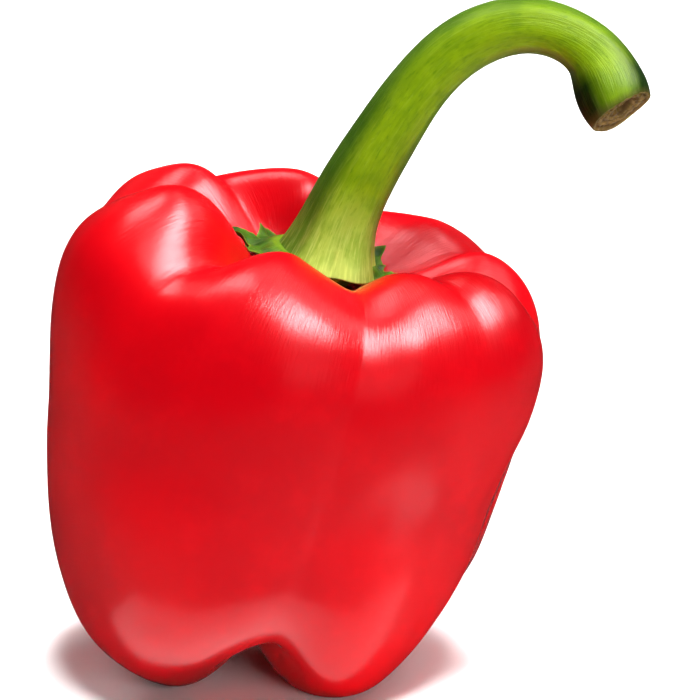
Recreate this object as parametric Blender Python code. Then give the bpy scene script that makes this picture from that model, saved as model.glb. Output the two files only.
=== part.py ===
"""Bell pepper: a four-lobed fruit standing on its lobes, with its calyx and its arched stem.

Lengths are in millimetres until the meshes are made, which are in metres. +Z is up, the stem
arches towards +X, and the front is -Y. The origin is under the middle of the whole pepper, on
the surface that it stands on.
"""

import math

import bmesh
import bpy
import numpy as np
from mathutils import Vector
from mathutils.bvhtree import BVHTree

COLLECTION = "bell_pepper"
MM = 0.001
GAP = 0.4  # kept between pieces that touch

# The fruit's own axis leans to +X as it stands on its lobes.
LEAN = math.radians(14.7)
AXIS_FOOT = (-19.5, -1.6, -1.3)
PIT_CENTRE = (-3.5, 2.2)  # the calyx end's middle, beside the axis

# Half of the fruit's outline, from the middle of the pit over the shoulder, down the side and
# in to the middle of the underside: radius, height, then how far in and how far down a deep
# groove between two lobes draws it, then the same for a shallow groove across a lobe.
OUTLINE = (
    (0.0, 72.5, 0.0, 0.0, 0.0, 0.0),
    (5.0, 72.5, 0.0, -0.5, 0.0, 0.0),
    (11.5, 71.5, 0.0, -1.0, 0.0, -0.3),
    (17.0, 75.5, 0.0, -3.0, 0.0, -1.5),
    (21.0, 79.2, 0.0, -8.0, 0.0, -4.0),
    (28.0, 84.3, 0.0, -9.0, 0.0, -4.5),
    (36.5, 80.6, -2.5, -6.0, -1.5, -3.0),
    (44.0, 72.0, -3.0, -2.0, -1.5, -1.0),
    (43.5, 57.0, -2.0, 0.0, -0.5, 0.0),
    (39.5, 42.0, -1.5, 0.0, 0.0, 0.0),
    (39.5, 26.0, -2.0, 0.0, 0.0, 0.0),
    (33.7, 9.0, -4.0, 3.0, 0.0, 0.0),
    (27.0, 3.2, -5.0, 7.0, 0.0, 0.0),
    (17.0, -0.1, -2.0, 8.0, 0.0, 0.0),
    (9.0, 3.5, 0.0, 4.0, 0.0, 0.0),
    (4.0, 7.5, 0.0, 1.0, 0.0, 0.0),
    (0.0, 8.0, 0.0, 0.0, 0.0, 0.0),
)

# The grooves round the fruit, deep and shallow in turn from the front one: direction in
# degrees from +X, depth at the shoulder, and a sharp crease's depth at the shoulder.
GROOVES = (
    (-81, 0.60, 1.5),
    (-41, 0.50, 0.0),
    (1, 0.95, 0.5),
    (30, 0.75, 0.0),
    (83, 0.45, 0.5),
    (140, 0.95, 0.0),
    (167, 0.90, 0.0),
    (220, 2.25, 0.3),
)
GROOVE_SHARPNESS = 2.2

# The swellings between one groove and the next, in the same order: how much higher and how
# much further out the rim is there, and how much further out the shoulder is.
SWELLINGS = (
    (-1.3, -7.9, -5.3),
    (1.0, -1.8, -2.1),
    (-1.0, -1.0, -4.2),
    (-0.4, -3.6, -1.6),
    (3.2, -7.7, -4.7),
    (0.1, 1.4, 3.0),
    (2.8, -0.4, 4.2),
    (-1.8, -6.8, -3.5),
)

# The lobes between one deep groove and the next: how much further out the middle, the lower
# part and the foot are, how much higher the foot is, and the depth of the deep groove before
# the lobe and of its shallow one, at the foot.
LOBES = (
    (-5.7, -2.1, 0.4, 3.1, 1.55),
    (3.7, 0.7, -2.3, 3.6, 1.10),
    (2.0, 0.6, 1.2, -4.0, 0.95),
    (1.5, 2.6, -5.9, -2.8, 1.10),
)

# The calyx: a disc about the pit's centre with pointed teeth, each with its direction in
# degrees, its length, its half-width in degrees and how far its point curls up.
CALYX_RADIUS = 11.8
CALYX_TOP = 75.4  # along the fruit's axis
CALYX_HUB = 8.6
CALYX_THICKNESS = 1.3
CALYX_DROOP = 0.9
CALYX_TEETH = (
    (4, 2.2, 9, 1.2),
    (24, 1.0, 5, 0.8),
    (45, 2.4, 8, 3.0),
    (92, 0.6, 12, 0.6),
    (118, -1.2, 16, 0.0),
    (147, 2.4, 7, 2.0),
    (172, 6.0, 7, 1.8),
    (202, 3.4, 15, 0.8),
    (228, 0.8, 6, 0.4),
    (276, -5.2, 44, 0.0),
)

# The stem's path from the calyx to its cut end: position, then radius.
STEM_PATH = (
    (-2.6, 0.6, 72.7, 8.6),
    (-1.6, 0.6, 76.2, 6.5),
    (0.6, 0.6, 83.0, 5.9),
    (6.6, 1.1, 93.0, 5.5),
    (12.6, 1.1, 102.4, 5.0),
    (20.6, 1.1, 110.4, 4.9),
    (31.5, 0.1, 113.8, 4.4),
    (42.9, -1.9, 108.8, 4.4),
    (44.0, -5.6, 102.2, 6.8),
    (45.8, -7.3, 99.6, 5.6),
)

FRUIT_SEGMENTS, FRUIT_RINGS = 72, 40
CALYX_SEGMENTS, CALYX_RINGS = 72, 14
STEM_POINTS, STEM_BEVEL = 34, 6

RED = (0.60, 0.006, 0.012, 1.0)
LEAF_GREEN = (0.075, 0.160, 0.012, 1.0)
STEM_GREEN = (0.250, 0.400, 0.020, 1.0)


def smooth_path(points, t):
    """Clamped cubic B-spline through a list of control points, read at t from 0 to 1."""
    points = np.asarray(points, float)
    spans = len(points) - 3
    knots = np.concatenate([np.zeros(3), np.linspace(0, 1, spans + 1), np.ones(3)])
    t = np.clip(t, 0.0, 1.0 - 1e-9)[:, None]
    basis = ((t >= knots[:-1]) & (t < knots[1:])).astype(float)
    for degree in (1, 2, 3):
        count = len(knots) - 1 - degree
        rise = knots[degree : degree + count] - knots[:count]
        fall = knots[degree + 1 :] - knots[1 : count + 1]
        left = (t - knots[:count]) / np.where(rise > 0, rise, 1) * (rise > 0)
        right = (knots[degree + 1 :] - t) / np.where(fall > 0, fall, 1) * (fall > 0)
        basis = left * basis[:, :-1] + right * basis[:, 1:]
    return basis, points


def reach(start, full, ebb, end):
    """How far something reaches along the outline's points: 0, up to 1, and down to 0."""
    row = np.arange(len(OUTLINE), dtype=float)
    return np.clip(np.minimum((row - start) / (full - start), (end - row) / (end - ebb)), 0, 1)


def eased(direction, centres, values):
    """Values at centres round the fruit, eased from each to the next."""
    around = np.append(centres, centres[0] + 360)
    values = np.append(values, values[0])
    at = (direction - around[0]) % 360 + around[0]
    k = np.clip(np.searchsorted(around, at, side="right") - 1, 0, len(centres) - 1)
    u = (at - around[k]) / (around[k + 1] - around[k])
    return values[k] + (values[k + 1] - values[k]) * u * u * (3 - 2 * u)


def leaned(x, y, z):
    """From the fruit's own frame, +Z along its axis, to the frame in which it stands."""
    return np.stack(
        [
            x * math.cos(LEAN) + z * math.sin(LEAN) + AXIS_FOOT[0],
            y + AXIS_FOOT[1] + 0 * x,
            -x * math.sin(LEAN) + z * math.cos(LEAN) + AXIS_FOOT[2],
        ],
        axis=-1,
    )


def fruit_surface(direction, t):
    """Points of the skin, for a direction in degrees round the axis and t down the outline."""
    rows = np.array(OUTLINE)
    grooves = np.array(GROOVES, float)
    angle, depth, crease = grooves.T
    following = np.append(angle[1:], angle[0] + 360)
    middle = (angle + following) / 2
    top = reach(-2, -1, 8, 10)
    shoulder = reach(3, 6, 7.5, 10.5)
    row = np.arange(len(rows))
    softness = 0.1 + 0.5 * np.exp(-(((row - 9) / 2) ** 2))
    deep = np.zeros((len(direction), len(rows)))
    shallow = np.zeros_like(deep)
    cut = np.zeros_like(deep)
    for k in range(len(angle)):
        near = middle if k % 2 else angle
        before = angle[k] - (near[k - 1] - (360 if k == 0 else 0))
        after = middle[k] - angle[k] if k % 2 else following[k] - angle[k]
        turn = (direction - angle[k] + 180) % 360 - 180
        off = np.where(turn < 0, -turn / before, turn / after)[:, None]
        rounded = np.sqrt(off * off + softness**2) - softness
        widest = np.sqrt(1 + softness**2) - softness
        scale = depth[k] * top + LOBES[k // 2][4] * (1 - top)
        groove = np.clip(1 - rounded / widest, 0, 1) ** GROOVE_SHARPNESS * scale
        kind = shallow if k % 2 else deep
        np.maximum(kind, groove, out=kind)
        np.maximum(cut, np.clip(1 - off / 0.6, 0, 1) ** 2 * crease[k], out=cut)
    up, out, side = (eased(direction, middle, column)[:, None] for column in np.array(SWELLINGS).T)
    lobe_angle = angle[::2]
    lobe_middle = (lobe_angle + np.append(lobe_angle[1:], lobe_angle[0] + 360)) / 2
    waist, low, foot, foot_up = (
        eased(direction, lobe_middle, column)[:, None] for column in np.array(LOBES).T[:4]
    )
    rim, foot_reach = reach(1, 4, 5, 8), reach(9.5, 12, 13, 15)
    radius = rows[:, 0] + deep * rows[:, 2] + shallow * rows[:, 4] + out * rim
    radius = radius + side * reach(4, 7, 7, 10) + waist * reach(6, 9, 9, 12)
    radius = radius + low * reach(8, 11, 11, 14) + foot * foot_reach - cut * shoulder
    height = rows[:, 1] + deep * rows[:, 3] + shallow * rows[:, 5] + up * rim
    height = height + foot_up * foot_reach
    basis, _ = smooth_path(rows, t)
    radius = (np.maximum(radius, 0) * basis).sum(axis=1)
    height = (height * basis).sum(axis=1)
    pit = basis @ reach(-2, -1, 2, 6)
    bearing = np.radians(direction)
    return leaned(
        radius * np.cos(bearing) + pit * PIT_CENTRE[0],
        radius * np.sin(bearing) + pit * PIT_CENTRE[1],
        height,
    )


def sphere_mesh(segments, rings):
    """A sphere's bmesh with, for each vertex, its direction in degrees and 0 to 1 from its top."""
    bm = bmesh.new()
    bmesh.ops.create_uvsphere(bm, u_segments=segments, v_segments=rings, radius=1.0)
    co = np.array([v.co[:] for v in bm.verts])
    direction = np.degrees(np.arctan2(co[:, 1], co[:, 0]))
    return bm, direction, np.arccos(np.clip(co[:, 2], -1, 1)) / math.pi


def moved(bm, points):
    """Puts each vertex at its point, given in millimetres, and turns the faces outwards."""
    for vertex, point in zip(bm.verts, points):
        vertex.co = Vector(point) * MM
    bmesh.ops.recalc_face_normals(bm, faces=bm.faces[:])
    if bm.calc_volume(signed=True) < 0:
        bmesh.ops.reverse_faces(bm, faces=bm.faces[:])
    return bm


def calyx_surface(direction, t, fruit):
    """Points of the calyx: a domed disc over the pit, on a surface that clears the fruit."""
    across = np.sin(math.pi * t)
    reach_out = np.full_like(direction, CALYX_RADIUS)
    curl = np.zeros_like(direction)
    for angle, length, width, lift in CALYX_TEETH:
        turn = np.abs((direction - angle + 180) % 360 - 180)
        tooth = np.exp(-((turn / width) ** 1.5))
        reach_out += length * tooth
        curl += lift * tooth
    radius = reach_out * across
    bearing = np.radians(direction)
    x = PIT_CENTRE[0] + radius * np.cos(bearing)
    y = PIT_CENTRE[1] + radius * np.sin(bearing)
    beyond = np.clip((radius - CALYX_HUB) / (reach_out - CALYX_HUB), 0, 1)
    top = CALYX_TOP - CALYX_DROOP * np.minimum(beyond * 2, 1) ** 2 + curl * beyond**2.5
    down = Vector((-math.sin(LEAN), 0, -math.cos(LEAN)))
    floor = np.empty_like(x)
    for k, start in enumerate(leaned(x, y, np.full_like(x, 100.0))):
        floor[k] = 100.0 - fruit.ray_cast(Vector(start) * MM, down)[3] / MM
    clear = floor + GAP + 0.15
    inner = np.clip(1 - radius / CALYX_HUB, 0, 1) ** 0.5
    under = np.maximum(clear, top - CALYX_THICKNESS - 3.0 * inner)
    top = np.maximum(top, under + CALYX_THICKNESS * 0.7)
    edge = np.sqrt(np.clip(1 - across**10, 0, 1))
    middle = under + CALYX_THICKNESS * 0.5
    height = np.where(t < 0.5, middle + (top - middle) * edge, middle - (middle - under) * edge)
    return leaned(x, y, height)


def material(name, colour, roughness):
    surface = bpy.data.materials.new(name)
    surface.use_nodes = True
    shader = surface.node_tree.nodes["Principled BSDF"]
    shader.inputs["Base Color"].default_value = colour
    shader.inputs["Roughness"].default_value = roughness
    shader.inputs["Metallic"].default_value = 0.0
    surface.diffuse_color = colour
    return surface


def add_object(name, data, surface, collection, parent):
    data.materials.append(surface)
    obj = bpy.data.objects.new(name, data)
    obj.parent = parent
    collection.objects.link(obj)
    return obj


def mesh_from(bm, name):
    mesh = bpy.data.meshes.new(name)
    bm.to_mesh(mesh)
    bm.free()
    mesh.shade_smooth()
    return mesh


def stem_curve():
    """A tube along the stem's path, thick at the calyx and at the swollen cut end."""
    basis, points = smooth_path(STEM_PATH, np.linspace(0, 1, STEM_POINTS))
    path = basis @ points
    curve = bpy.data.curves.new("stem", "CURVE")
    curve.dimensions = "3D"
    curve.twist_mode = "MINIMUM"
    curve.bevel_depth = MM
    curve.bevel_resolution = STEM_BEVEL
    curve.use_fill_caps = True
    spline = curve.splines.new("POLY")
    spline.points.add(STEM_POINTS - 1)
    for point, (x, y, z, radius) in zip(spline.points, path):
        point.co = (x * MM, y * MM, z * MM, 1.0)
        point.radius = radius
    return curve


def main():
    for obj in list(bpy.data.objects):
        bpy.data.objects.remove(obj, do_unlink=True)
    collection = bpy.data.collections.new(COLLECTION)
    bpy.context.scene.collection.children.link(collection)
    root = bpy.data.objects.new("bell_pepper_root", None)
    collection.objects.link(root)

    fruit, direction, t = sphere_mesh(FRUIT_SEGMENTS, FRUIT_RINGS)
    skin = fruit_surface(direction, t)
    skin[:, 2] = np.maximum(skin[:, 2], 0.0)  # the lobes' feet are flat where they rest
    moved(fruit, skin)
    over = BVHTree.FromBMesh(fruit)
    calyx, direction, t = sphere_mesh(CALYX_SEGMENTS, CALYX_RINGS)
    moved(calyx, calyx_surface(direction, t, over))

    add_object("fruit", mesh_from(fruit, "fruit"), material("fruit_skin", RED, 0.22), collection, root)
    add_object(
        "calyx", mesh_from(calyx, "calyx"), material("calyx_green", LEAF_GREEN, 0.5), collection, root
    )
    add_object("stem", stem_curve(), material("stem_green", STEM_GREEN, 0.45), collection, root)


if __name__ == "__main__":
    main()
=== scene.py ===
"""Looks of a ripe red bell pepper: waxy lobed fruit, toothed calyx and fibrous arched stem.

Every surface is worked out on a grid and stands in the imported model's frame, in metres, +Z up,
with the stem arching towards +X and the front at -Y.
"""

import math

import bpy
import numpy as np
from bpy.props import FloatProperty, FloatVectorProperty, IntProperty, PointerProperty
from mathutils import Matrix, Quaternion, Vector


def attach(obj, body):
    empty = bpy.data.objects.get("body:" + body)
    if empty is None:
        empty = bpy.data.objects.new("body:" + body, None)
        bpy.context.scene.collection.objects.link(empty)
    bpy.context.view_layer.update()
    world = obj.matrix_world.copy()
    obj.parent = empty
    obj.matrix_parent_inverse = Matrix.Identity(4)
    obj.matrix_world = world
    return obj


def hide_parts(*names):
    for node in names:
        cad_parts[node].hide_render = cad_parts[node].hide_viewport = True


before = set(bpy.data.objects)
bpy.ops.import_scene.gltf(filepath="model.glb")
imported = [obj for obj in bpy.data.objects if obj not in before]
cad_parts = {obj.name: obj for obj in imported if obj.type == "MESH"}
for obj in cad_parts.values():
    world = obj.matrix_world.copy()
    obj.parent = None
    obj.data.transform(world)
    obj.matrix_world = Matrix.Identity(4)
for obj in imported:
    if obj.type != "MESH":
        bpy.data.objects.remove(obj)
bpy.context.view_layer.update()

bl_info = {
    "name": "Bell Pepper",
    "version": (1, 0, 0),
    "blender": (4, 5, 0),
    "location": "3D View > Sidebar > Bell Pepper",
    "description": "Builds a ripe red bell pepper standing on its lobes",
    "category": "Add Mesh",
}

MM = 0.001
BODY = "root"

# ---------------------------------------------------------------------------------------------
# Form, in millimetres, worked out as it is for the solids
# ---------------------------------------------------------------------------------------------

LEAN = math.radians(14.7)
AXIS_FOOT = (-19.5, -1.6, -1.3)
PIT_CENTRE = (-3.5, 2.2)

# radius, height, then how far in and down a deep groove draws the outline, then a shallow one
OUTLINE = np.array(
    (
        (0.0, 72.5, 0.0, 0.0, 0.0, 0.0),
        (5.0, 72.5, 0.0, -0.5, 0.0, 0.0),
        (11.5, 71.5, 0.0, -1.0, 0.0, -0.3),
        (17.0, 75.5, 0.0, -3.0, 0.0, -1.5),
        (21.0, 79.2, 0.0, -8.0, 0.0, -4.0),
        (28.0, 84.3, 0.0, -9.0, 0.0, -4.5),
        (36.5, 80.6, -2.5, -6.0, -1.5, -3.0),
        (44.0, 72.0, -3.0, -2.0, -1.5, -1.0),
        (43.5, 57.0, -2.0, 0.0, -0.5, 0.0),
        (39.5, 42.0, -1.5, 0.0, 0.0, 0.0),
        (39.5, 26.0, -2.0, 0.0, 0.0, 0.0),
        (33.7, 9.0, -4.0, 3.0, 0.0, 0.0),
        (27.0, 3.2, -5.0, 7.0, 0.0, 0.0),
        (17.0, -0.1, -2.0, 8.0, 0.0, 0.0),
        (9.0, 3.5, 0.0, 4.0, 0.0, 0.0),
        (4.0, 7.5, 0.0, 1.0, 0.0, 0.0),
        (0.0, 8.0, 0.0, 0.0, 0.0, 0.0),
    )
)
# direction in degrees, depth, sharp crease's depth: deep and shallow in turn
GROOVES = np.array(
    (
        (-81, 0.60, 1.5),
        (-41, 0.50, 0.0),
        (1, 0.95, 0.5),
        (30, 0.75, 0.0),
        (83, 0.45, 0.5),
        (140, 0.95, 0.0),
        (167, 0.90, 0.0),
        (220, 2.25, 0.3),
    )
)
# between the grooves: rim up, rim out, shoulder out
SWELLINGS = np.array(
    (
        (-1.3, -7.9, -5.3),
        (1.0, -1.8, -2.1),
        (-1.0, -1.0, -4.2),
        (-0.4, -3.6, -1.6),
        (3.2, -7.7, -4.7),
        (0.1, 1.4, 3.0),
        (2.8, -0.4, 4.2),
        (-1.8, -6.8, -3.5),
    )
)
# between the deep grooves: waist out, lower part out, foot out, foot up, groove depth there
LOBES = np.array(
    (
        (-5.7, -2.1, 0.4, 3.1, 1.55),
        (3.7, 0.7, -2.3, 3.6, 1.10),
        (2.0, 0.6, 1.2, -4.0, 0.95),
        (1.5, 2.6, -5.9, -2.8, 1.10),
    )
)
GROOVE_SHARPNESS = 2.2
CREASE_WIDTH = 0.6  # as a share of the way to the next groove

# rows of the outline between which each thing reaches: start, full, ebb, end
TOP_ROWS = (-2, -1, 8, 10)
PIT_ROWS = (-2, -1, 2, 6)
RIM_ROWS = (1, 4, 5, 8)
CREASE_ROWS = (3, 6, 7.5, 10.5)
SIDE_ROWS = (4, 7, 7, 10)
WAIST_ROWS = (6, 9, 9, 12)
LOW_ROWS = (8, 11, 11, 14)
FOOT_ROWS = (9.5, 12, 13, 15)

# layers of unevenness: length, height, scale along the third axis, seed of its draws
SKIN_DENTS = ((26.0, 0.22, 1.0, 3), (9.0, 0.07, 0.6, 5))
CALYX_WRINKLES = ((4.2, 0.42, 0.0, 11), (1.9, 0.16, 0.0, 13))
CALYX_CREASES = ((3.2, 0.5, 0.0, 17),)
STALK_DENTS = ((7.0, 0.14, 1 / 4, 23), (2.6, 0.06, 1 / 9, 29))
CUT_ROUGHNESS = ((1.6, 0.16, 0.0, 31), (0.6, 0.08, 0.0, 37))

SKIN_DENTS_AT = 0.001  # the unevenness, in metres, at which the dents have those heights
SOLE_HEIGHT = 6.0  # the dents fade out below it
SKIN_RADIUS = 38.0  # of the round on which the streaks are spread
# the painted shade in the pit is full at the first distance and gone at the second
PIT_SHADE_FULL, PIT_SHADE_ENDS = 11.0, 13.5  # distances down the skin from its middle, under the calyx and past it

CALYX_RADIUS = 11.8
CALYX_TOP = 75.4
CALYX_HUB = 8.6
CALYX_COLLAR = (8.3, 1.5, 0.75)  # distance, width and height of the swelling round the stem
CALYX_THICK, CALYX_THIN = 1.25, 0.5
CALYX_FALL = 0.9  # of its top outside the hub
CALYX_PLUG = 3.0  # how much deeper its middle reaches
CALYX_GAP = 0.12  # between the skin and its underside
CALYX_RIPPLES = ((11, 0.6, 0.35), (23, 2.1, 0.25))  # of its edge: number, phase, height
RIB_WIDTH, RIB_HEIGHT = 2.6, 0.25  # of the rib along each tooth, the width in degrees
# powers by which a tooth's length and curl fall off, and how much wider its curl is
TOOTH_FALL, CURL_FALL, CURL_WIDENS = 1.25, 1.6, 1.3
# direction, length, half-width and curl of each tooth
CALYX_TEETH = np.array(
    (
        (4, 2.2, 9, 1.2),
        (24, 1.0, 5, 0.8),
        (45, 2.4, 8, 3.0),
        (92, 0.6, 12, 0.6),
        (118, -1.2, 16, 0.0),
        (147, 2.4, 7, 2.0),
        (172, 6.0, 7, 1.8),
        (202, 3.4, 15, 0.8),
        (228, 0.8, 6, 0.4),
        (276, -6.8, 46, 0.0),
    )
)

# ribs of the stalk: number round it, phase, height as a share of its radius
STEM_RIBS = ((5, 0.7, 0.045), (11, 2.0, 0.018))
STEM_RIBS_LENGTH = 26.0
STEM_TWIST = (5, 0.7, 0.020, 30.0)  # the same for the long ribs, and their length per radian
CUT_RINGS = 26.0  # radians of the rings from the middle of the cut face to its rim
CUT_LIP = (3.9, 0.6, 0.5)  # direction in radians, width and height of its torn lip
CUT_EDGE = 0.06  # as a share of its radius
PITH_CENTRE, PITH_RADII, PITH_DEPTH = (0.16, 0.02), (0.34, 0.30), 2.2
# position along the path, then radius
STEM_PATH = np.array(
    (
        (-2.9, 0.6, 71.3, 8.9),
        (-1.6, 0.6, 76.2, 6.5),
        (0.6, 0.6, 83.0, 5.9),
        (6.6, 1.1, 93.0, 5.5),
        (12.6, 1.1, 102.4, 5.0),
        (20.6, 1.1, 110.4, 4.9),
        (31.5, 0.1, 113.8, 4.4),
        (42.9, -1.9, 108.8, 4.4),
        (44.0, -5.6, 102.2, 6.8),
        (45.8, -7.3, 99.6, 5.6),
    )
)


def path_weights(count, t):
    """Weights of the control points of a clamped cubic B-spline, for every t from 0 to 1."""
    knots = np.concatenate([np.zeros(3), np.linspace(0, 1, count - 2), np.ones(3)])
    t = np.clip(t, 0.0, 1.0 - 1e-9)[:, None]
    basis = ((t >= knots[:-1]) & (t < knots[1:])).astype(float)
    for degree in (1, 2, 3):
        have = len(knots) - 1 - degree
        rise = knots[degree : degree + have] - knots[:have]
        fall = knots[degree + 1 :] - knots[1 : have + 1]
        left = (t - knots[:have]) / np.where(rise > 0, rise, 1) * (rise > 0)
        right = (knots[degree + 1 :] - t) / np.where(fall > 0, fall, 1) * (fall > 0)
        basis = left * basis[:, :-1] + right * basis[:, 1:]
    return basis


def ramp(value, start, end):
    """0 at start, 1 at end and straight between; end may be the lower one."""
    return np.clip((value - start) / (end - start), 0, 1)


def bell(value, middle, width):
    """1 in the middle, 1/e at a width from it."""
    return np.exp(-(((value - middle) / width) ** 2))


def reach(rows):
    """How far something reaches along the outline's points: 0, up to 1, and down to 0."""
    start, full, ebb, end = rows
    row = np.arange(len(OUTLINE), dtype=float)
    return np.minimum(ramp(row, start, full), ramp(row, end, ebb))


def eased(direction, centres, values):
    """Values at centres round the fruit, eased from each to the next."""
    around = np.append(centres, centres[0] + 360)
    values = np.append(values, values[0])
    at = (direction - around[0]) % 360 + around[0]
    k = np.clip(np.searchsorted(around, at, side="right") - 1, 0, len(centres) - 1)
    u = (at - around[k]) / (around[k + 1] - around[k])
    return values[k] + (values[k + 1] - values[k]) * u * u * (3 - 2 * u)


def leaned(x, y, z):
    """From the fruit's own frame, +Z along its axis, to the frame in which it stands."""
    x, y, z = np.broadcast_arrays(x, y, z)
    return np.stack(
        [
            x * math.cos(LEAN) + z * math.sin(LEAN) + AXIS_FOOT[0],
            y + AXIS_FOOT[1],
            -x * math.sin(LEAN) + z * math.cos(LEAN) + AXIS_FOOT[2],
        ],
        axis=-1,
    )


def waves(x, y, z, length, seed, count=24):
    """A smooth wandering height, mostly in -1 to 1: a sum of plane waves of about one length."""
    draw = np.random.default_rng(seed)
    way = draw.normal(size=(count, 3))
    way /= np.linalg.norm(way, axis=1, keepdims=True)
    number = 2 * math.pi / length * draw.uniform(0.6, 1.5, count)
    phase = draw.uniform(0, 2 * math.pi, count)
    total = np.zeros(np.broadcast(x, y, z).shape)
    for (a, b, c), k, p in zip(way, number, phase):
        total += np.sin(k * (a * x + b * y + c * z) + p)
    return total / math.sqrt(count * 2)


def uneven(x, y, z, layers):
    """The sum of the layers' waves, each at its own height."""
    return sum(
        height * waves(x, y, z * along, length, seed) for length, height, along, seed in layers
    )


def fruit_form(direction, t):
    """Points of the skin on a grid of directions (degrees round the axis) and t down the outline.

    Each direction has its own outline: the grooves draw it in and down, the swellings and
    lobes push it out and up, and a cubic B-spline runs through it. The whole then leans, and
    stops at the surface that it stands on.
    """
    angle, depth, crease = GROOVES.T
    following = np.append(angle[1:], angle[0] + 360)
    middle = (angle + following) / 2
    top = reach(TOP_ROWS)
    softness = 0.1 + 0.5 * bell(np.arange(len(OUTLINE)), 9, 2)
    widest = np.sqrt(1 + softness**2) - softness
    deep = np.zeros((len(direction), len(OUTLINE)))
    shallow = np.zeros_like(deep)
    cut = np.zeros_like(deep)
    for k in range(len(angle)):
        near = middle if k % 2 else angle
        before = angle[k] - (near[k - 1] - (360 if k == 0 else 0))
        after = middle[k] - angle[k] if k % 2 else following[k] - angle[k]
        turn = (direction - angle[k] + 180) % 360 - 180
        off = np.where(turn < 0, -turn / before, turn / after)[:, None]
        rounded = np.sqrt(off * off + softness**2) - softness
        scale = depth[k] * top + LOBES[k // 2][4] * (1 - top)
        groove = np.clip(1 - rounded / widest, 0, 1) ** GROOVE_SHARPNESS * scale
        kind = shallow if k % 2 else deep
        np.maximum(kind, groove, out=kind)
        np.maximum(cut, ramp(off, CREASE_WIDTH, 0) ** 2 * crease[k], out=cut)
    up, out, side = (eased(direction, middle, column)[:, None] for column in SWELLINGS.T)
    lobe_angle = angle[::2]
    lobe_middle = (lobe_angle + np.append(lobe_angle[1:], lobe_angle[0] + 360)) / 2
    waist, low, foot, foot_up = (
        eased(direction, lobe_middle, column)[:, None] for column in LOBES.T[:4]
    )
    rim, foot_reach = reach(RIM_ROWS), reach(FOOT_ROWS)
    radius = OUTLINE[:, 0] + deep * OUTLINE[:, 2] + shallow * OUTLINE[:, 4] + out * rim
    radius = radius + side * reach(SIDE_ROWS) + waist * reach(WAIST_ROWS)
    radius = radius + low * reach(LOW_ROWS) + foot * foot_reach
    radius = radius - cut * reach(CREASE_ROWS)
    height = OUTLINE[:, 1] + deep * OUTLINE[:, 3] + shallow * OUTLINE[:, 5] + up * rim
    height = height + foot_up * foot_reach
    weights = path_weights(len(OUTLINE), t)
    radius = np.maximum(radius, 0) @ weights.T
    height = height @ weights.T
    pit = weights @ reach(PIT_ROWS)
    bearing = np.radians(direction)[:, None]
    return leaned(
        radius * np.cos(bearing) + pit * PIT_CENTRE[0],
        radius * np.sin(bearing) + pit * PIT_CENTRE[1],
        height,
    )


# ---------------------------------------------------------------------------------------------
# Meshes
# ---------------------------------------------------------------------------------------------


def grid_normals(points):
    """Outward normals of a grid that closes on itself along its first axis."""
    along = np.roll(points, -1, axis=0) - np.roll(points, 1, axis=0)
    down = np.gradient(points, axis=1)
    normal = np.cross(down, along)
    return normal / np.maximum(np.linalg.norm(normal, axis=-1, keepdims=True), 1e-9)


def closed_mesh(name, points, attributes):
    """A mesh from a grid (around, down, 3) in millimetres whose two ends close on a pole.

    The first and last columns are one point each. Attributes are grids of the same size,
    stored at the points: three numbers each as a vector, one number as a float.
    """
    around, down = points.shape[:2]
    inner = points[:, 1:-1]
    poles = np.stack([points[:, 0].mean(axis=0), points[:, -1].mean(axis=0)])
    co = np.concatenate([inner.reshape(-1, 3), poles]) * MM
    index = np.arange(around * (down - 2)).reshape(around, down - 2)
    following = np.roll(index, -1, axis=0)
    quads = np.stack(
        [index[:, :-1], index[:, 1:], following[:, 1:], following[:, :-1]], axis=-1
    ).reshape(-1, 4)
    first, last = len(co) - 2, len(co) - 1
    start = np.stack([np.full(around, first), index[:, 0], following[:, 0]], axis=-1)
    end = np.stack([index[:, -1], np.full(around, last), following[:, -1]], axis=-1)
    mesh = bpy.data.meshes.new(name)
    mesh.from_pydata(co, [], quads.tolist() + start.tolist() + end.tolist())
    volume = np.einsum(
        "ij,ij->i", co[quads[:, 0]], np.cross(co[quads[:, 1]], co[quads[:, 2]])
    ).sum()
    if volume < 0:
        mesh.flip_normals()
    for key, grid in attributes.items():
        between = grid[:, 1:-1].reshape(-1, *grid.shape[2:])
        flat = np.concatenate([between, grid[:1, 0], grid[:1, -1]])
        kind, field = ("FLOAT_VECTOR", "vector") if flat.ndim == 2 else ("FLOAT", "value")
        layer = mesh.attributes.new(key, kind, "POINT")
        layer.data.foreach_set(field, np.ascontiguousarray(flat, np.float32).ravel())
    mesh.validate()
    mesh.shade_smooth()
    return mesh


def add_piece(name, mesh, material, node):
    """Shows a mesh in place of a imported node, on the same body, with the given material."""
    mesh.materials.append(material)
    piece = bpy.data.objects.new(name, mesh)
    bpy.context.scene.collection.objects.link(piece)
    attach(piece, BODY)
    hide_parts(node)
    return piece


# ---------------------------------------------------------------------------------------------
# Materials
# ---------------------------------------------------------------------------------------------


class Signal:
    """A node's output that can stand in a sum: each operator adds one Math node."""

    def __init__(self, finish, socket):
        self.finish, self.socket = finish, socket

    def combined(self, operation, first, second):
        return self.finish.node("ShaderNodeMath", {"operation": operation}, {0: first, 1: second})

    def __add__(self, other):
        return self.combined("ADD", self, other)

    def __radd__(self, other):
        return self.combined("ADD", other, self)

    def __sub__(self, other):
        return self.combined("SUBTRACT", self, other)

    def __rsub__(self, other):
        return self.combined("SUBTRACT", other, self)

    def __mul__(self, other):
        return self.combined("MULTIPLY", self, other)

    def __rmul__(self, other):
        return self.combined("MULTIPLY", other, self)

    def third(self):
        """The third number of a vector."""
        return self.finish.node("ShaderNodeSeparateXYZ", None, {"Vector": self}, output=2)


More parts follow.
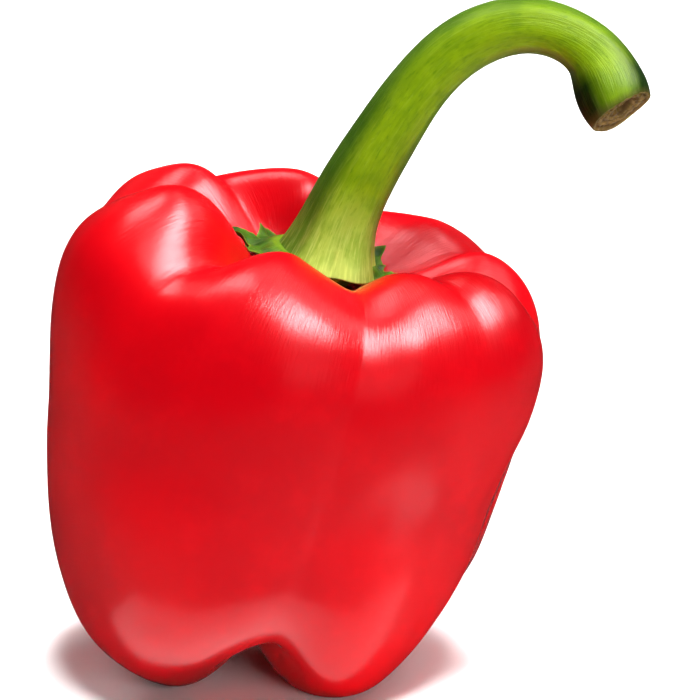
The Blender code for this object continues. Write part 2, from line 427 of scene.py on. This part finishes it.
class Finish:
    """A material that is being made, with one Principled BSDF."""

    def __init__(self, name, **values):
        self.material = bpy.data.materials.new(name)
        self.material.use_nodes = True
        self.tree = self.material.node_tree
        self.surface = self.tree.nodes["Principled BSDF"]
        for key, value in values.items():
            self.surface.inputs[key.replace("_", " ")].default_value = value

    def node(self, kind, settings=None, sockets=None, output=0):
        """Any other node: its settings come first, then the values or links of its sockets."""
        made = self.tree.nodes.new(kind)
        for key, value in (settings or {}).items():
            setattr(made, key, value)
        for key, value in (sockets or {}).items():
            self.put(made.inputs[key], value)
        return Signal(self, made.outputs[output])

    def put(self, socket, value):
        if isinstance(value, Signal):
            self.tree.links.new(value.socket, socket)
        else:
            socket.default_value = value

    def attribute(self, key, output="Vector"):
        return self.node("ShaderNodeAttribute", {"attribute_name": key}, output=output)

    def place(self):
        return self.node("ShaderNodeTexCoord", output="Object")

    def stretched(self, vector, scale):
        return self.node(
            "ShaderNodeMapping", {"vector_type": "POINT"}, {"Vector": vector, "Scale": scale}
        )

    def noise(self, vector, scale, detail=3.0, roughness=0.55, distortion=0.0):
        return self.node(
            "ShaderNodeTexNoise",
            None,
            {
                "Vector": vector,
                "Scale": scale,
                "Detail": detail,
                "Roughness": roughness,
                "Distortion": distortion,
            },
        )

    def between(self, value, low, high):
        """0 below low, 1 above high, eased between."""
        return self.node(
            "ShaderNodeMapRange",
            {"interpolation_type": "SMOOTHSTEP"},
            {"Value": value, "From Min": low, "From Max": high},
        )

    def mix(self, factor, first, second, blend="MIX"):
        return self.node(
            "ShaderNodeMix",
            {"data_type": "RGBA", "blend_type": blend},
            {0: factor, 6: first, 7: second},
            output=2,
        )

    def bump(self, height, strength, distance, under=None):
        sockets = {"Height": height, "Strength": strength, "Distance": distance}
        if under is not None:
            sockets["Normal"] = under
        return self.node("ShaderNodeBump", None, sockets)

    def wear(self, **signals):
        for key, value in signals.items():
            self.put(self.surface.inputs[key.replace("_", " ")], value)
        return self.material


def opaque(tint):
    return tuple(tint) + (1.0,)


def blended(tint, other, amount):
    """A tint mixed with another by an amount, which is held to 0 to 1."""
    return tint + (np.array(other) - tint) * np.clip(amount, 0, 1)[..., None]


SHEEN_TINT = (1.0, 0.45, 0.48)  # the skin's gloss is a little red
# painted shade: the dark red the skin takes in the pit under the calyx
PIT_SHADE_RED = (0.10, 0.003, 0.0008)
STREAKS_FROM, STREAKS_FULL = 0.045, 0.075  # heights in metres
STREAK_DEPTH, GRAIN_DEPTH = 0.00016, 0.00006
SPECK_DEPTH = 0.00010

# what a green is multiplied by in its shaded patches and its dark flecks
PATCH_SHADE = (0.70, 0.78, 0.60)
FLECK_SHADE = (0.55, 0.68, 0.40)
# what is added to it in its light threads and dots
THREAD_LIGHT = (0.20, 0.18, 0.07)


def skin_finish(settings):
    """Waxy red skin: broad shifts of red, painted shade in the pit under the calyx, fine streaks
    down the fruit and a soft gloss.
    """
    made = Finish(
        "ripe_skin", IOR=1.40, Roughness=settings.gloss, Specular_Tint=opaque(SHEEN_TINT)
    )
    growth = made.attribute("growth")
    place = made.place()
    broad = made.noise(place, 22.0, detail=2.0)
    mottle = made.noise(place, 110.0, detail=4.0, roughness=0.6)
    streaks = made.noise(made.stretched(growth, (1.0, 1.0, 0.10)), 2.6, detail=3.0, roughness=0.6)
    grain = made.noise(made.stretched(growth, (1.0, 1.0, 0.45)), 5.5, detail=2.0)
    high = made.between(place.third(), STREAKS_FROM, STREAKS_FULL)
    red = made.mix(
        made.between(broad, 0.35, 0.65), opaque(settings.deep_red), opaque(settings.ripe_red)
    )
    red = made.mix(made.between(mottle, 0.45, 0.75) * 0.35, red, opaque(settings.bright_red))
    # painted shade in the pit under the calyx
    red = made.mix(made.attribute("pit_shade", output="Fac"), red, opaque(PIT_SHADE_RED))
    fine = made.bump(grain, 0.15, GRAIN_DEPTH)
    skin = made.bump(streaks * (0.10 + high * 0.90), 0.40, STREAK_DEPTH, under=fine)
    return made.wear(Base_Color=red, Normal=skin)


def green_finish(name, gloss, fibre_depth):
    """Plant tissue: its own tints, broken up by fibres that run along it and by small specks.

    Shaded patches come first, then light threads, dark flecks and light dots.
    """
    made = Finish(name, Specular_IOR_Level=0.08)
    flow = made.attribute("flow")
    tint = made.attribute("tint", output="Color")
    pale = made.attribute("pale", output="Fac")
    place = made.place()
    fibres = made.noise(made.stretched(flow, (1.0, 1.0, 0.055)), 3.4, detail=4.0, roughness=0.62)
    broken = made.noise(made.stretched(flow, (1.0, 1.0, 0.16)), 1.3, detail=3.0)
    specks = made.noise(place, 900.0, detail=2.0, roughness=0.7)
    patches = made.noise(place, 150.0, detail=3.0)
    shade = made.mix(1.0, tint, opaque(PATCH_SHADE), blend="MULTIPLY")
    green = made.mix(made.between(patches + (broken - 0.5) * 0.5, 0.35, 0.60), shade, tint)
    light = made.mix(1.0, tint, opaque(THREAD_LIGHT), blend="ADD")
    threads = made.between(fibres + pale * 0.06, 0.50, 0.75) * (0.02 + pale * 0.70)
    green = made.mix(threads, green, light)
    flecks = made.noise(made.stretched(flow, (1.0, 1.0, 0.22)), 2.2, detail=4.0, roughness=0.7)
    dark = made.mix(1.0, green, opaque(FLECK_SHADE), blend="MULTIPLY")
    green = made.mix(made.between(flecks, 0.52, 0.68) * (0.75 - pale * 0.45), green, dark)
    dots = made.between(specks, 0.66, 0.78) * 0.12
    green = made.mix(dots, green, light)
    rough = gloss + (fibres - 0.5) * 0.25
    under = made.bump(specks, 0.25, SPECK_DEPTH)
    normal = made.bump(fibres + broken * 0.6, 0.35, fibre_depth, under=under)
    return made.wear(Base_Color=green, Roughness=rough, Normal=normal)


# ---------------------------------------------------------------------------------------------
# Pieces
# ---------------------------------------------------------------------------------------------


def rolled_out(direction, radius, distance):
    """Places for a pattern that runs along a surface: on a round, as far along as the point is."""
    bearing = np.radians(direction)[:, None]
    across = (np.cos(bearing) * radius, np.sin(bearing) * radius, distance)
    return np.stack(np.broadcast_arrays(*across), axis=-1)


def skin_points(settings):
    """The fruit's form with a slight unevenness along its normal, flat where it stands.

    With them go their places on the skin rolled out, and how much painted shade each takes in the
    pit.
    """
    direction = np.linspace(0, 360, settings.around, endpoint=False)
    t = np.linspace(0, 1, settings.down)
    points = fruit_form(direction, t)
    normal = grid_normals(points)
    x, y, z = np.moveaxis(points, -1, 0)
    height = uneven(x, y, z, SKIN_DENTS) * ramp(z, 0, SOLE_HEIGHT) * ramp(t, 0, 1 / 8)
    points = points + normal * (height * settings.unevenness / SKIN_DENTS_AT)[..., None]
    points[..., 2] = np.maximum(points[..., 2], 0.0)
    steps = np.linalg.norm(np.diff(points, axis=1, prepend=points[:, :1]), axis=-1)
    distance = np.cumsum(steps, axis=1)
    return points, rolled_out(direction, SKIN_RADIUS, distance), ramp(distance, PIT_SHADE_ENDS, PIT_SHADE_FULL)


class BELLPEPPER_PG_fruit(bpy.types.PropertyGroup):
    """The red fruit"""

    ripe_red: FloatVectorProperty(
        name="Ripe red", description="Main colour of the skin", subtype="COLOR",
        min=0.0, max=1.0, default=(0.66, 0.0004, 0.0040),
    )
    deep_red: FloatVectorProperty(
        name="Deep red", description="Darker patches of the skin", subtype="COLOR",
        min=0.0, max=1.0, default=(0.52, 0.0003, 0.0044),
    )
    bright_red: FloatVectorProperty(
        name="Bright red", description="Small lighter patches of the skin", subtype="COLOR",
        min=0.0, max=1.0, default=(0.74, 0.0010, 0.0060),
    )
    gloss: FloatProperty(
        name="Skin roughness", description="Lower is shinier", min=0.0, max=1.0, default=0.26
    )
    unevenness: FloatProperty(
        name="Unevenness", description="Height of the slight dents in the skin", unit="LENGTH",
        min=0.0, max=0.003, default=0.001,
    )
    around: IntProperty(name="Around", description="Points round the fruit", min=48, default=384)
    down: IntProperty(name="Down", description="Points from top to bottom", min=48, default=250)


class BELLPEPPER_OT_fruit(bpy.types.Operator):
    """Make the lobed fruit with its waxy red skin"""

    bl_idname = "bellpepper.make_fruit"
    bl_label = "Fruit"

    def execute(self, context):
        settings = context.scene.bellpepper_fruit
        points, growth, pit_shade = skin_points(settings)
        mesh = closed_mesh("pepper_fruit", points, {"growth": growth, "pit_shade": pit_shade})
        add_piece("pepper_fruit", mesh, skin_finish(settings), "fruit")
        return {"FINISHED"}


def pit_floor(direction, distance):
    """Points of the skin in the pit at a distance from its middle, for each direction."""
    t = np.linspace(0, 0.42, 260)
    turned = fruit_form(direction, t) - np.array(AXIS_FOOT)
    lean_cos, lean_sin = math.cos(LEAN), math.sin(LEAN)
    x = turned[..., 0] * lean_cos - turned[..., 2] * lean_sin
    y = turned[..., 1]
    z = turned[..., 0] * lean_sin + turned[..., 2] * lean_cos
    from_middle = np.hypot(x - PIT_CENTRE[0], y - PIT_CENTRE[1])
    from_middle = np.maximum.accumulate(from_middle, axis=1)
    k = np.clip((from_middle[:, None, :] < distance[..., None]).sum(axis=-1), 1, len(t) - 1)
    rows = np.arange(len(direction))[:, None]
    low, high = from_middle[rows, k - 1], from_middle[rows, k]
    u = np.clip((distance - low) / np.maximum(high - low, 1e-6), 0, 1)
    return tuple(v[rows, k - 1] * (1 - u) + v[rows, k] * u for v in (x, y, z))


def calyx_points(settings):
    """The toothed cap: a thin domed disc over the pit whose edge curls up into points.

    Its reach varies with direction, a tooth at a time. Its top falls away from the hub and
    curls up towards the tips, its underside keeps off the skin, and ribs and creases run out
    to the teeth.
    """
    direction = np.linspace(0, 360, settings.around, endpoint=False)
    t = np.linspace(0, 1, settings.down)
    t = t + 0.045 * np.sin(4 * math.pi * t)  # more points half way across
    across = np.sin(math.pi * t)
    span = np.full_like(direction, CALYX_RADIUS)
    curl = np.zeros_like(direction)
    rib = np.zeros_like(direction)
    for angle, length, width, lift in CALYX_TEETH:
        turn = np.abs((direction - angle + 180) % 360 - 180)
        span += length * np.exp(-((turn / width) ** TOOTH_FALL))
        curl += lift * np.exp(-((turn / (width * CURL_WIDENS)) ** CURL_FALL))
        rib += bell(turn, 0, RIB_WIDTH)
    for number, phase, high in CALYX_RIPPLES:
        span += high * np.sin(np.radians(direction) * number + phase)
    distance = span[:, None] * across
    x, y, floor = pit_floor(direction, distance)
    beyond = ramp(distance, CALYX_HUB, span[:, None])
    top = CALYX_TOP - CALYX_FALL * ramp(beyond, 0, 0.5) ** 2 + curl[:, None] * beyond**3
    at, width, swell = CALYX_COLLAR
    wrinkle = uneven(x, y, floor, CALYX_WRINKLES)
    top = top + swell * bell(distance, at, width)
    top = top + ramp(beyond, 0, 0.625) * (rib[:, None] * RIB_HEIGHT + wrinkle)
    thick = CALYX_THICK + (CALYX_THIN - CALYX_THICK) * beyond
    inner = np.sqrt(ramp(distance, CALYX_HUB, 0))
    under = np.maximum(floor + CALYX_GAP, top - thick - CALYX_PLUG * inner)
    top = np.maximum(top, under + thick * 0.7)
    edge = np.sqrt(np.clip(1 - across**12, 0, 1))
    middle = under + thick * 0.5
    upper = t < 0.5
    height = np.where(upper, middle + (top - middle) * edge, middle - (middle - under) * edge)
    crease = np.clip(0.5 + uneven(x, y, floor, CALYX_CREASES), 0, 1)
    return leaned(x, y, height), across, crease, direction, distance, upper


HUB_GREEN_ENDS, HUB_GREEN_FULL = 9.7, 8.1  # distances at which the cap takes the stalk's colour
UNDERSIDE_SHADE = 0.6
CALYX_FLOW_RADIUS = 9.0
CALYX_FIBRE_DEPTH = 0.00025


class BELLPEPPER_PG_calyx(bpy.types.PropertyGroup):
    """The toothed cap in the pit"""

    leaf_green: FloatVectorProperty(
        name="Leaf green", description="Main colour of the cap", subtype="COLOR",
        min=0.0, max=1.0, default=(0.050, 0.125, 0.004),
    )
    edge_green: FloatVectorProperty(
        name="Edge green", description="Lighter colour of its teeth's edges", subtype="COLOR",
        min=0.0, max=1.0, default=(0.20, 0.30, 0.02),
    )
    crease_green: FloatVectorProperty(
        name="Crease green", description="Colour in its creases", subtype="COLOR",
        min=0.0, max=1.0, default=(0.018, 0.050, 0.004),
    )
    gloss: FloatProperty(
        name="Leaf roughness", description="Lower is shinier", min=0.0, max=1.0, default=0.48
    )
    around: IntProperty(name="Around", description="Points round the cap", min=48, default=480)
    down: IntProperty(
        name="Across", description="Points from top to underside", min=24, default=96
    )


class BELLPEPPER_OT_calyx(bpy.types.Operator):
    """Make the green cap with its curled teeth"""

    bl_idname = "bellpepper.make_calyx"
    bl_label = "Calyx"

    def execute(self, context):
        settings = context.scene.bellpepper_calyx
        points, across, crease, direction, distance, upper = calyx_points(settings)
        leaf, edge, dark, stalk = (
            np.array(value[:])
            for value in (
                settings.leaf_green,
                settings.edge_green,
                settings.crease_green,
                context.scene.bellpepper_stem.stalk_green,
            )
        )
        hub = ramp(distance, HUB_GREEN_ENDS, HUB_GREEN_FULL)
        tint = blended(leaf, dark, ramp(crease, 0.4375, 1.0625) * (1 - hub))
        tint = blended(tint, edge, ramp(across, 0.93, 1.0) ** 2 * 0.8)
        tint = blended(tint, stalk, hub * 0.45)
        tint = np.where(upper[:, None], tint, tint * UNDERSIDE_SHADE)
        flow = rolled_out(direction, CALYX_FLOW_RADIUS, distance)
        mesh = closed_mesh(
            "pepper_calyx", points, {"tint": tint, "flow": flow, "pale": 0.25 + 0.3 * hub}
        )
        material = green_finish("calyx_tissue", settings.gloss, CALYX_FIBRE_DEPTH)
        add_piece("pepper_calyx", mesh, material, "calyx")
        return {"FINISHED"}


FRONT = np.array((0.0, -1.0, 0.0))


def stem_points(settings):
    """The stalk: a ribbed tube along its path, closed by the rough face where it was cut.

    Round the path the radius takes ribs that fade upwards and a slow unevenness. The cut face
    is a disc of rings with a torn lip and a hollow pith beside its middle.
    """
    turn = np.linspace(0, 2 * math.pi, settings.around, endpoint=False)[:, None]
    s = np.linspace(0, 1, settings.along)
    path = path_weights(len(STEM_PATH), s) @ STEM_PATH
    centre, radius = path[:, :3], path[:, 3]
    tangent = np.gradient(centre, axis=0)
    tangent /= np.linalg.norm(tangent, axis=1, keepdims=True)
    front = FRONT - tangent * (tangent @ FRONT)[:, None]
    front /= np.linalg.norm(front, axis=1, keepdims=True)
    outer = np.cross(front, tangent)
    length = np.concatenate([[0], np.cumsum(np.linalg.norm(np.diff(centre, axis=0), axis=1))])
    cos, sin = np.cos(turn), np.sin(turn)
    ribs = sum(high * np.cos(number * turn + phase) for number, phase, high in STEM_RIBS)
    number, phase, high, twist = STEM_TWIST
    ribs = ribs * ramp(length, STEM_RIBS_LENGTH, 0) ** 1.5
    ribs = ribs + high * np.cos(number * turn + phase + length / twist)
    wide = radius * (1 + ribs) + uneven(cos * 5, sin * 5, length, STALK_DENTS)
    tube = centre + wide[..., None] * (cos[..., None] * outer + sin[..., None] * front)
    # The cut face: rings from the rim to the pith.
    q = 1 - np.linspace(0, 1, settings.cut_rings + 1)[1:]
    last, way = centre[-1], tangent[-1]
    direction, width, high = CUT_LIP
    lip = high * bell((turn - direction + math.pi) % (2 * math.pi) - math.pi, 0, width)
    px, py = q * cos, q * sin
    pith = np.hypot((px - PITH_CENTRE[0]) / PITH_RADII[0], (py - PITH_CENTRE[1]) / PITH_RADII[1])
    rings = 0.10 * np.cos(q * CUT_RINGS + 0.4 * np.sin(3 * turn))
    depth = 0.25 * ramp(q, 0.80, 0.95) - 0.30 + rings + uneven(px * 6, py * 6, px, CUT_ROUGHNESS)
    depth = depth + lip * ramp(q, 0.6, 1.0)
    depth = depth - PITH_DEPTH / (1 + np.exp((pith - 1) * 7))
    depth = lip + (depth - lip) * ramp(q, 1.0, 1.0 - CUT_EDGE)
    face = last + depth[..., None] * way + (q * wide[:, -1:])[..., None] * (
        cos[..., None] * outer[-1] + sin[..., None] * front[-1]
    )
    tube[:, -1] += lip * way
    start = np.repeat(centre[:1][None], settings.around, axis=0)
    points = np.concatenate([start, tube, face], axis=1)
    return points, length, q, turn, pith


# where the stalk's tints lie, in millimetres along it or before its cut: a tint begins at the
# first of two numbers and is full at the second
FOOT_ENDS = 16.0
SHADE_FADES = (52.0, 22.0)
OLIVE_AT = (58.0, 12.0)  # middle and width
# distance along the stalk at which the painted shade on its edges is full
EDGE_SHADE_FULL = 12.0
BRUISE_AND_SHADE_BEFORE_CUT = (12.0, 5.0)
LIP_BEFORE_CUT = (1.2, 0.2)

OLIVE = (0.17, 0.12, 0.03)
# dark green near the cut: partly bruised tissue, partly painted shade
BRUISE_AND_SHADE_GREEN = (0.006, 0.028, 0.001)
LIP_BROWN = (0.10, 0.085, 0.02)
RING_BROWN = (0.32, 0.19, 0.065)
PITH_BROWN = (0.035, 0.014, 0.006)

STALK_FLOW_RADIUS = 5.5
STALK_FIBRE_DEPTH = 0.00030


class BELLPEPPER_PG_stem(bpy.types.PropertyGroup):
    """The arched stalk"""

    stalk_green: FloatVectorProperty(
        name="Stalk green", description="Main colour of the stalk", subtype="COLOR",
        min=0.0, max=1.0, default=(0.215, 0.345, 0.003),
    )
    # the darker outer side is partly the stalk's own green and partly painted shade
    shade_green: FloatVectorProperty(
        name="Shaded green", description="Colour of its darker outer side", subtype="COLOR",
        min=0.0, max=1.0, default=(0.045, 0.125, 0.008),
    )
    base_green: FloatVectorProperty(
        name="Base green", description="Light colour at its foot", subtype="COLOR",
        min=0.0, max=1.0, default=(0.52, 0.74, 0.14),
    )
    cut_brown: FloatVectorProperty(
        name="Cut brown", description="Colour of the dried cut face", subtype="COLOR",
        min=0.0, max=1.0, default=(0.10, 0.052, 0.018),
    )
    gloss: FloatProperty(
        name="Stalk roughness", description="Lower is shinier", min=0.0, max=1.0, default=0.40
    )
    around: IntProperty(name="Around", description="Points round the stalk", min=24, default=176)
    along: IntProperty(name="Along", description="Points along the stalk", min=48, default=440)
    cut_rings: IntProperty(
        name="Cut rings", description="Rings on the cut face", min=8, default=56
    )


class BELLPEPPER_OT_stem(bpy.types.Operator):
    """Make the fibrous stalk with its swollen, cut end"""

    bl_idname = "bellpepper.make_stem"
    bl_label = "Stem"

    def execute(self, context):
        settings = context.scene.bellpepper_stem
        points, length, q, turn, pith = stem_points(settings)
        cos, sin = np.cos(turn), np.sin(turn)
        stalk, shade, base, brown = (
            np.array(value[:])
            for value in (
                settings.stalk_green,
                settings.shade_green,
                settings.base_green,
                settings.cut_brown,
            )
        )
        total = length[-1]
        along = np.concatenate([[0], length, np.full(len(q), total)])
        inside = np.concatenate([np.zeros(len(length) + 1), 1 - q])
        tint = np.broadcast_to(stalk, (len(turn), len(along), 3))
        foot = ramp(along, FOOT_ENDS, 0)
        tint = blended(tint, base, foot**1.2 * (0.55 + 0.45 * sin) * (1 - 0.6 * ramp(cos, 0, 1)))
        # The outer side darker: partly the stalk's own darker green, partly painted shade.
        tint = blended(tint, shade, ramp(cos, 0.35, 0.85) * ramp(along, *SHADE_FADES) * 0.85)
        olive = ramp(cos, -0.55, -0.85) * bell(along, *OLIVE_AT)
        tint = blended(tint, OLIVE, olive * 0.8)
        # Painted shade along both edges that face sideways from the front.
        edge = ramp(np.abs(cos), 0.72, 0.98) * ramp(along, 0, EDGE_SHADE_FULL)
        tint = blended(tint, shade, edge * 0.75)
        # Near the cut, both sides away from the lit middle darker: partly bruised tissue, partly
        # painted shade.
        bruise_and_shade = ramp(cos, 0.02, -0.58) + ramp(cos, 0.45, 0.85)
        tint = blended(tint, BRUISE_AND_SHADE_GREEN, bruise_and_shade * ramp(total - along, *BRUISE_AND_SHADE_BEFORE_CUT))
        lip = ramp(total - along, *LIP_BEFORE_CUT) * (inside == 0)
        tint = blended(tint, LIP_BROWN, lip * 0.7)
        cut = ramp(inside, 0, 0.05)
        rings = 0.5 + 0.5 * np.cos((1 - inside) * CUT_RINGS + 0.4)
        tint = blended(tint, blended(brown, RING_BROWN, rings * 0.7), cut)
        hollow = np.zeros((len(turn), len(along)))
        hollow[:, -len(q):] = 1 / (1 + np.exp((pith - 1.05) * 8))
        tint = blended(tint, PITH_BROWN, hollow)
        flow = rolled_out(np.degrees(turn[:, 0]), STALK_FLOW_RADIUS, along)
        flow[:, -len(q):, :2] *= q[:, None]
        pale = np.broadcast_to((0.22 + 0.78 * foot) * (1 - cut), hollow.shape)
        mesh = closed_mesh("pepper_stem", points, {"tint": tint, "flow": flow, "pale": pale})
        material = green_finish("stalk_tissue", settings.gloss, STALK_FIBRE_DEPTH)
        add_piece("pepper_stem", mesh, material, "stem")
        return {"FINISHED"}


# ---------------------------------------------------------------------------------------------
# Stage
# ---------------------------------------------------------------------------------------------

CAMERA_ELEVATION = math.radians(17.0)
CAMERA_DISTANCE = 0.650
CAMERA_LENS = 191.9
CAMERA_SENSOR = 36.0
CAMERA_CLIP = (0.01, 20.0)
CAMERA_AIM = (0.00098, -0.00087, 0.0)
CAMERA_RISE = 0.0540
FLOOR_HALF = 3.0

# softboxes that only gloss shows: name, centre, aim, size, watts, turn
SHINES = (
    ("window_shine", (0.33, -0.24, 0.62), (0.30, -0.18, 0.0), (0.36, 0.36), 23.0, 33.0),
    ("window_left", (-0.16, 0.12, 0.62), (-0.15, 0.08, 0.0), (0.20, 0.26), 2.6, 0.0),
    ("side_shine", (0.55, 0.16, 0.55), (0.0, 0.0, 0.07), (0.25, 0.35), 1.2, 0.0),
    ("sheet_shine", (-0.005, -0.036, 0.0004), (-0.005, -0.036, 1.0), (0.11, 0.022), 0.017, 0.0),
)
# softboxes that only matt shading shows: name, centre, aim, size, watts, spread
FILLS = (
    ("overhead_key", (0.04, -0.07, 0.94), (0.0, 0.27, 0.0), (0.72, 0.68), 1.8, 16.0),
    ("overhead_back", (0.22, 0.60, 0.94), (0.0, 0.27, 0.0), (0.72, 0.68), 1.9, 22.0),
    ("left_fill", (-0.24, 0.74, 0.30), (0.0, 0.12, 0.0), (0.40, 0.30), 0.18, 30.0),
    ("right_fill", (0.34, 0.72, 0.30), (0.0, 0.12, 0.0), (0.40, 0.30), 0.22, 30.0),
    ("front_fill", (0.46, -0.75, 0.26), (0.0, 0.0, 0.045), (0.45, 0.35), 3.6, 180.0),
)


def softbox(name, centre, aim, size, power, spread=180.0, turn=0.0):
    """A rectangular softbox at a point, facing another, turned about its middle.

    Its spread and turn are in degrees.
    """
    light = bpy.data.lights.new(name, "AREA")
    light.shape = "RECTANGLE"
    light.size, light.size_y = size
    light.energy = power
    light.spread = math.radians(spread)
    lamp = bpy.data.objects.new(name, light)
    lamp.location = centre
    lamp.rotation_mode = "QUATERNION"
    facing = (Vector(aim) - Vector(centre)).to_track_quat("-Z", "Y")
    lamp.rotation_quaternion = facing @ Quaternion((0.0, 0.0, 1.0), math.radians(turn))
    lamp.visible_camera = False
    bpy.context.scene.collection.objects.link(lamp)
    return lamp


class BELLPEPPER_PG_stage(bpy.types.PropertyGroup):
    """Floor, light and camera"""

    floor_colour: FloatVectorProperty(
        name="Floor", description="Colour of the plain floor", subtype="COLOR",
        min=0.0, max=1.0, default=(0.92, 0.92, 0.92),
    )
    sky: FloatProperty(
        name="Sky", description="Brightness of the surroundings", min=0.0, max=4.0, default=0.03
    )


class BELLPEPPER_OT_stage(bpy.types.Operator):
    """Make the pale floor, the soft lights and the camera"""

    bl_idname = "bellpepper.make_stage"
    bl_label = "Stage"

    def execute(self, context):
        scene = context.scene
        settings = scene.bellpepper_stage
        floor_mesh = bpy.data.meshes.new("stage_floor")
        corners = np.array(((-1, -1, 0), (1, -1, 0), (1, 1, 0), (-1, 1, 0))) * FLOOR_HALF
        floor_mesh.from_pydata(corners, [], [(0, 1, 2, 3)])
        floor = bpy.data.objects.new("stage_floor", floor_mesh)
        scene.collection.objects.link(floor)
        paper = Finish(
            "studio_paper",
            Base_Color=opaque(settings.floor_colour),
            Roughness=1.0,
            Specular_IOR_Level=0.0,
        )
        floor_mesh.materials.append(paper.material)

        # The skin shows dark surroundings, so the wide sheet is left out of its gloss.
        floor.visible_glossy = False
        for *placed, turn in SHINES:
            softbox(*placed, turn=turn).visible_diffuse = False
        for *placed, spread in FILLS:
            softbox(*placed, spread=spread).visible_glossy = False

        world = bpy.data.worlds.new("studio")
        world.use_nodes = True
        background = world.node_tree.nodes["Background"]
        background.inputs["Color"].default_value = (1.0, 1.0, 1.0, 1.0)
        background.inputs["Strength"].default_value = settings.sky
        scene.world = world
        scene.view_settings.view_transform = "Standard"

        back = Vector((0.0, -math.cos(CAMERA_ELEVATION), math.sin(CAMERA_ELEVATION)))
        up = Vector((0.0, math.sin(CAMERA_ELEVATION), math.cos(CAMERA_ELEVATION)))
        turned = Matrix((Vector((1.0, 0.0, 0.0)), up, back)).transposed()
        camera = bpy.data.cameras.new("camera")
        camera.sensor_width = CAMERA_SENSOR
        camera.lens = CAMERA_LENS
        camera.clip_start, camera.clip_end = CAMERA_CLIP
        viewer = bpy.data.objects.new("camera", camera)
        viewer.matrix_world = (
            Matrix.Translation(Vector(CAMERA_AIM) + up * CAMERA_RISE + back * CAMERA_DISTANCE)
            @ turned.to_4x4()
        )
        scene.collection.objects.link(viewer)
        scene.camera = viewer
        return {"FINISHED"}


PARTS = ("stage", "fruit", "calyx", "stem")


class BELLPEPPER_PT_parts(bpy.types.Panel):
    """Lists the pieces of the bell pepper and the values to change"""

    bl_idname = "BELLPEPPER_PT_parts"
    bl_label = "Bell Pepper"
    bl_space_type = "VIEW_3D"
    bl_region_type = "UI"
    bl_category = "Bell Pepper"

    def draw(self, context):
        for part in PARTS:
            box = self.layout.box()
            box.operator(f"bellpepper.make_{part}")
            settings = getattr(context.scene, f"bellpepper_{part}")
            for key in settings.__annotations__:
                box.prop(settings, key)


GROUPS = {
    "stage": BELLPEPPER_PG_stage,
    "fruit": BELLPEPPER_PG_fruit,
    "calyx": BELLPEPPER_PG_calyx,
    "stem": BELLPEPPER_PG_stem,
}
OPERATORS = (BELLPEPPER_OT_stage, BELLPEPPER_OT_fruit, BELLPEPPER_OT_calyx, BELLPEPPER_OT_stem)


def register():
    for group in GROUPS.values():
        bpy.utils.register_class(group)
    for part, group in GROUPS.items():
        setattr(bpy.types.Scene, f"bellpepper_{part}", PointerProperty(type=group))
    for operator in OPERATORS:
        bpy.utils.register_class(operator)
    bpy.utils.register_class(BELLPEPPER_PT_parts)


def unregister():
    bpy.utils.unregister_class(BELLPEPPER_PT_parts)
    for operator in reversed(OPERATORS):
        bpy.utils.unregister_class(operator)
    for part in reversed(tuple(GROUPS)):
        delattr(bpy.types.Scene, f"bellpepper_{part}")
    for group in reversed(tuple(GROUPS.values())):
        bpy.utils.unregister_class(group)


def main():
    register()
    for part in PARTS:
        getattr(bpy.ops.bellpepper, f"make_{part}")()


if __name__ == "__main__":
    main()
